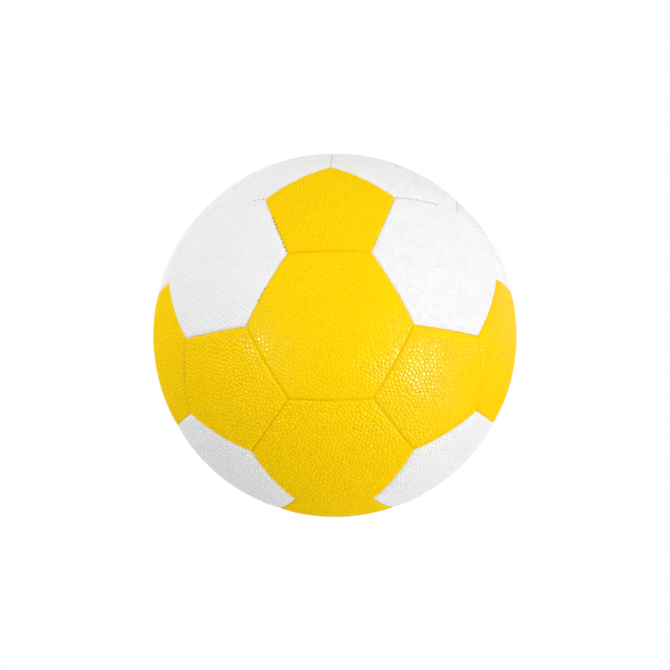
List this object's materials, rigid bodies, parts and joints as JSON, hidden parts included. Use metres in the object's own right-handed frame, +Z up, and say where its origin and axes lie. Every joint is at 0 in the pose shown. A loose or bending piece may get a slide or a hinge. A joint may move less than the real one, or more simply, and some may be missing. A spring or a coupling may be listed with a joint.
{
  "type": "handball",
  "caption": "Adult handball with a sewn cover of yellow and white pentagons and hexagons over foam, cloth and a rubber bladder with an inflation valve.",
  "frame": {"origin": "centre of the ball", "axes": "+Z up through the seam between the two white top hexagons, -Y towards the pictured side, so that X, Y and Z are the twofold axes of the panel pattern"},
  "size_m": [0.188, 0.188, 0.188],
  "materials": {
    "cover_yellow": "satin",
    "cover_white": "satin",
    "foam": "matte",
    "lining": "matte",
    "thread": "matte",
    "bladder": "matte",
    "patch": "matte",
    "valve_housing": "matte",
    "valve_core": "satin"
  },
  "bodies": {
    "root": {"pentagon_panel_01": "cover_yellow", "pentagon_panel_02": "cover_yellow", "pentagon_panel_03": "cover_white", "pentagon_panel_04": "cover_yellow", "pentagon_panel_05": "cover_yellow", "pentagon_panel_06": "cover_white", "pentagon_panel_07": "cover_yellow", "pentagon_panel_08": "cover_yellow", "pentagon_panel_09": "cover_white", "pentagon_panel_10": "cover_yellow", "pentagon_panel_11": "cover_yellow", "pentagon_panel_12": "cover_white", "hexagon_panel_01": "cover_white", "hexagon_panel_02": "cover_yellow", "hexagon_panel_03": "cover_white", "hexagon_panel_04": "cover_white", "hexagon_panel_05": "cover_white", "hexagon_panel_06": "cover_yellow", "hexagon_panel_07": "cover_yellow", "hexagon_panel_08": "cover_white", "hexagon_panel_09": "cover_white", "hexagon_panel_10": "cover_yellow", "hexagon_panel_11": "cover_white", "hexagon_panel_12": "cover_white", "hexagon_panel_13": "cover_white", "hexagon_panel_14": "cover_yellow", "valve_panel": "cover_white", "hexagon_panel_16": "cover_yellow", "hexagon_panel_17": "cover_white", "hexagon_panel_18": "cover_yellow", "hexagon_panel_19": "cover_yellow", "hexagon_panel_20": "cover_white", "pentagon_foam": "foam", "hexagon_foam": "foam", "pentagon_lining": "lining", "hexagon_lining": "lining", "pentagon_seam_thread": "thread", "hexagon_seam_thread": "thread", "bladder": "bladder", "bladder_patch": "patch", "valve_housing": "valve_housing", "valve_core": "valve_core"}
  },
  "joints": []
}
